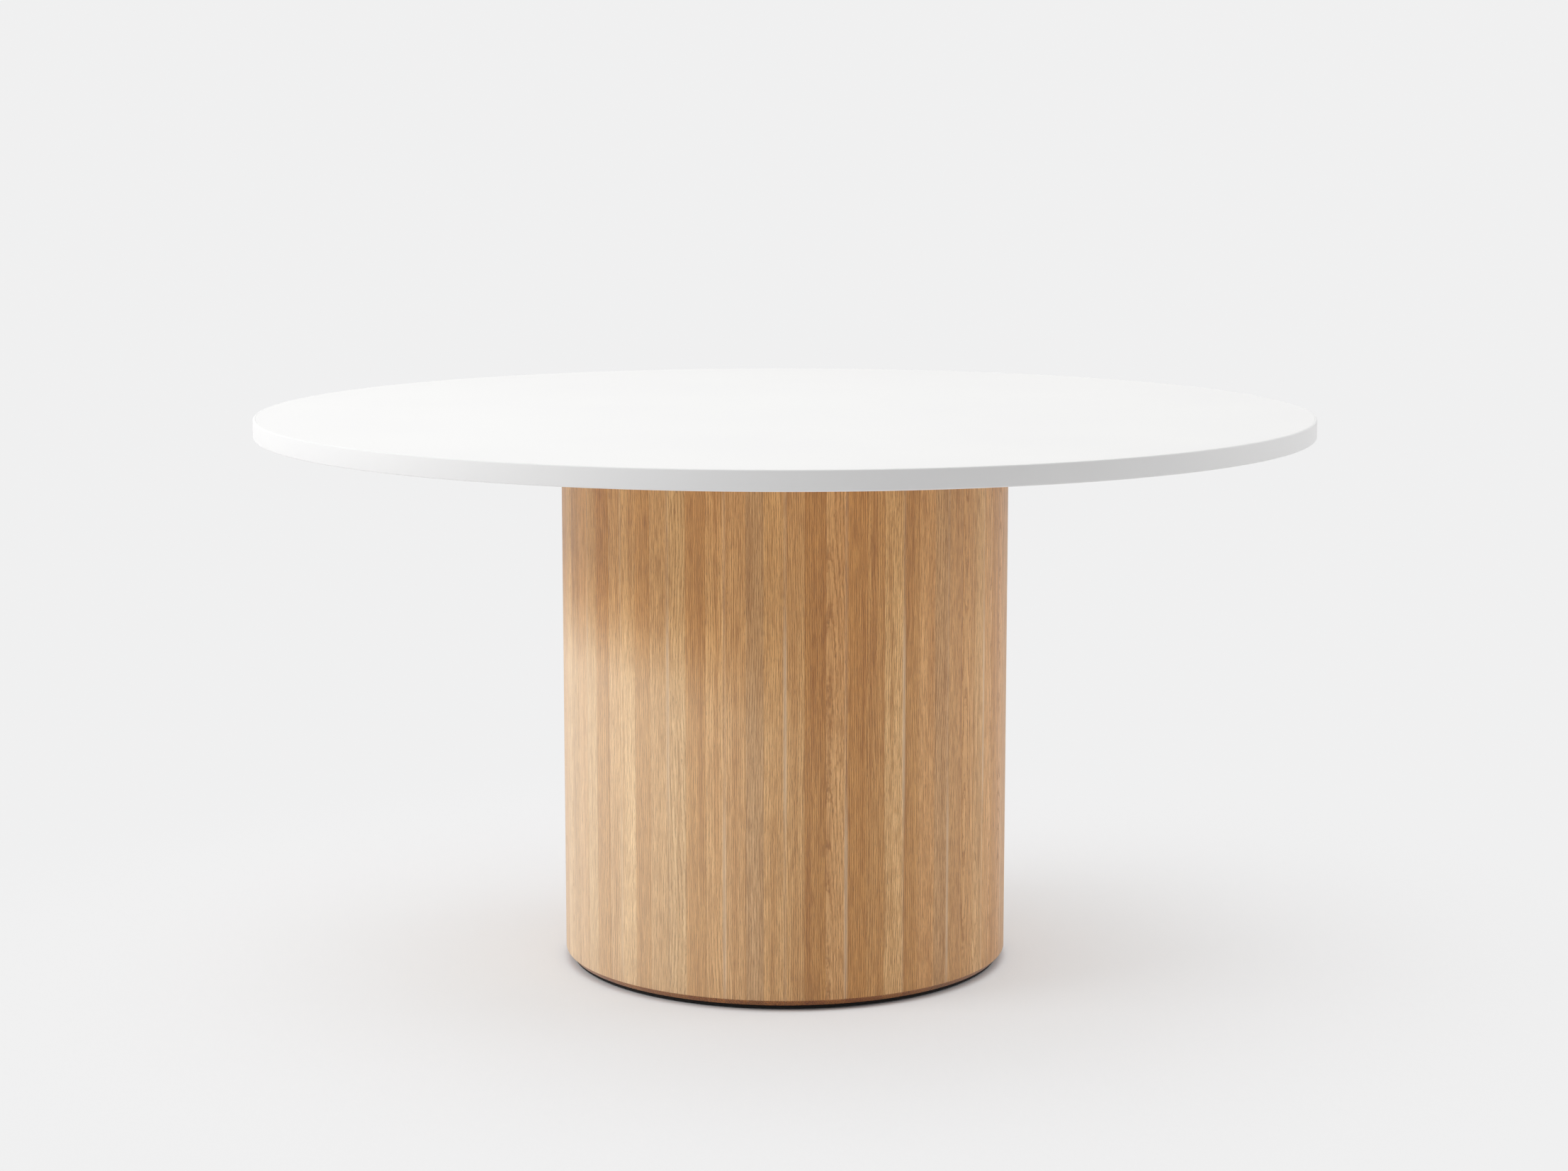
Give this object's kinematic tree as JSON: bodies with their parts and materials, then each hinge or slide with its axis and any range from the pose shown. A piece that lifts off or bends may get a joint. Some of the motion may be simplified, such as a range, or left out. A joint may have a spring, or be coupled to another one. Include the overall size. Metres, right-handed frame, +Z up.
{
  "type": "round pedestal table",
  "caption": "Round dining table: a thin white laminate top on a wide coopered oak drum, standing on screw levellers under a recessed black plinth.",
  "frame": {"origin": "on the floor, under the middle of the table", "axes": "+Z up along the drum's axis, +X through the first leveller, -Y towards the viewer of the picture"},
  "size_m": [1.4, 1.4, 0.74],
  "materials": {
    "white_laminate": "satin laminate",
    "white_edge": "satin edge band",
    "board": "raw fibreboard",
    "oak": "matt lacquered oak",
    "birch_ply": "raw plywood",
    "black_board": "black stained plywood",
    "ballast_steel": "dark paint",
    "zinc_steel": "zinc plated",
    "black_screw": "black oxide",
    "brass": "turned brass",
    "black_nylon": "moulded nylon"
  },
  "bodies": {
    "table": {"top_core": "board", "top_laminate": "white_laminate", "underside_laminate": "white_laminate", "edge_band": "white_edge", "top_inserts": "brass", "fixing_bolts": "zinc_steel", "fixing_washers": "zinc_steel", "top_former": "birch_ply", "middle_former": "birch_ply", "bottom_former": "birch_ply", "plinth_board": "black_board", "plinth_screws": "black_screw", "ballast_ring": "ballast_steel", "ballast_screws": "zinc_steel", "leveller_inserts": "brass", "stave_panel_01": "oak", "stave_panel_02": "oak", "stave_panel_03": "oak", "stave_panel_04": "oak", "stave_panel_05": "oak", "stave_panel_06": "oak", "stave_panel_07": "oak", "stave_panel_08": "oak", "stave_panel_09": "oak", "stave_panel_10": "oak", "stave_panel_11": "oak", "stave_panel_12": "oak", "stave_panel_13": "oak", "stave_panel_14": "oak", "stave_panel_15": "oak", "stave_panel_16": "oak", "stave_panel_17": "oak", "stave_panel_18": "oak", "stave_panel_19": "oak", "stave_panel_20": "oak", "stave_panel_21": "oak", "stave_panel_22": "oak", "stave_panel_23": "oak", "stave_panel_24": "oak"},
    "leveller_pad_1": {"leveller_pad_1": "black_nylon"},
    "leveller_stem_1": {"leveller_stem_1": "zinc_steel"},
    "leveller_pad_2": {"leveller_pad_2": "black_nylon"},
    "leveller_stem_2": {"leveller_stem_2": "zinc_steel"},
    "leveller_pad_3": {"leveller_pad_3": "black_nylon"},
    "leveller_stem_3": {"leveller_stem_3": "zinc_steel"},
    "leveller_pad_4": {"leveller_pad_4": "black_nylon"},
    "leveller_stem_4": {"leveller_stem_4": "zinc_steel"},
    "leveller_pad_5": {"leveller_pad_5": "black_nylon"},
    "leveller_stem_5": {"leveller_stem_5": "zinc_steel"},
    "leveller_pad_6": {"leveller_pad_6": "black_nylon"},
    "leveller_stem_6": {"leveller_stem_6": "zinc_steel"}
  },
  "joints": [
    {"name": "leveller_1_travel", "type": "slide", "parent": "table", "child": "leveller_pad_1", "axis": [0, 0, -1], "range_m": [0, 0.012]},
    {"name": "leveller_1_turn", "type": "hinge", "parent": "leveller_pad_1", "child": "leveller_stem_1", "pos_m": [0.236, 0, 0.007], "axis": [0, 0, -1], "range_deg": [0, 2880]},
    {"name": "leveller_2_travel", "type": "slide", "parent": "table", "child": "leveller_pad_2", "axis": [0, 0, -1], "range_m": [0, 0.012]},
    {"name": "leveller_2_turn", "type": "hinge", "parent": "leveller_pad_2", "child": "leveller_stem_2", "pos_m": [0.118, 0.20438, 0.007], "axis": [0, 0, -1], "range_deg": [0, 2880]},
    {"name": "leveller_3_travel", "type": "slide", "parent": "table", "child": "leveller_pad_3", "axis": [0, 0, -1], "range_m": [0, 0.012]},
    {"name": "leveller_3_turn", "type": "hinge", "parent": "leveller_pad_3", "child": "leveller_stem_3", "pos_m": [-0.118, 0.20438, 0.007], "axis": [0, 0, -1], "range_deg": [0, 2880]},
    {"name": "leveller_4_travel", "type": "slide", "parent": "table", "child": "leveller_pad_4", "axis": [0, 0, -1], "range_m": [0, 0.012]},
    {"name": "leveller_4_turn", "type": "hinge", "parent": "leveller_pad_4", "child": "leveller_stem_4", "pos_m": [-0.236, 0, 0.007], "axis": [0, 0, -1], "range_deg": [0, 2880]},
    {"name": "leveller_5_travel", "type": "slide", "parent": "table", "child": "leveller_pad_5", "axis": [0, 0, -1], "range_m": [0, 0.012]},
    {"name": "leveller_5_turn", "type": "hinge", "parent": "leveller_pad_5", "child": "leveller_stem_5", "pos_m": [-0.118, -0.20438, 0.007], "axis": [0, 0, -1], "range_deg": [0, 2880]},
    {"name": "leveller_6_travel", "type": "slide", "parent": "table", "child": "leveller_pad_6", "axis": [0, 0, -1], "range_m": [0, 0.012]},
    {"name": "leveller_6_turn", "type": "hinge", "parent": "leveller_pad_6", "child": "leveller_stem_6", "pos_m": [0.118, -0.20438, 0.007], "axis": [0, 0, -1], "range_deg": [0, 2880]}
  ],
  "couplings": [
    {"joint": "leveller_1_turn", "follows": "leveller_1_travel", "rad_per_m": 4188.8},
    {"joint": "leveller_2_turn", "follows": "leveller_2_travel", "rad_per_m": 4188.8},
    {"joint": "leveller_3_turn", "follows": "leveller_3_travel", "rad_per_m": 4188.8},
    {"joint": "leveller_4_turn", "follows": "leveller_4_travel", "rad_per_m": 4188.8},
    {"joint": "leveller_5_turn", "follows": "leveller_5_travel", "rad_per_m": 4188.8},
    {"joint": "leveller_6_turn", "follows": "leveller_6_travel", "rad_per_m": 4188.8}
  ]
}
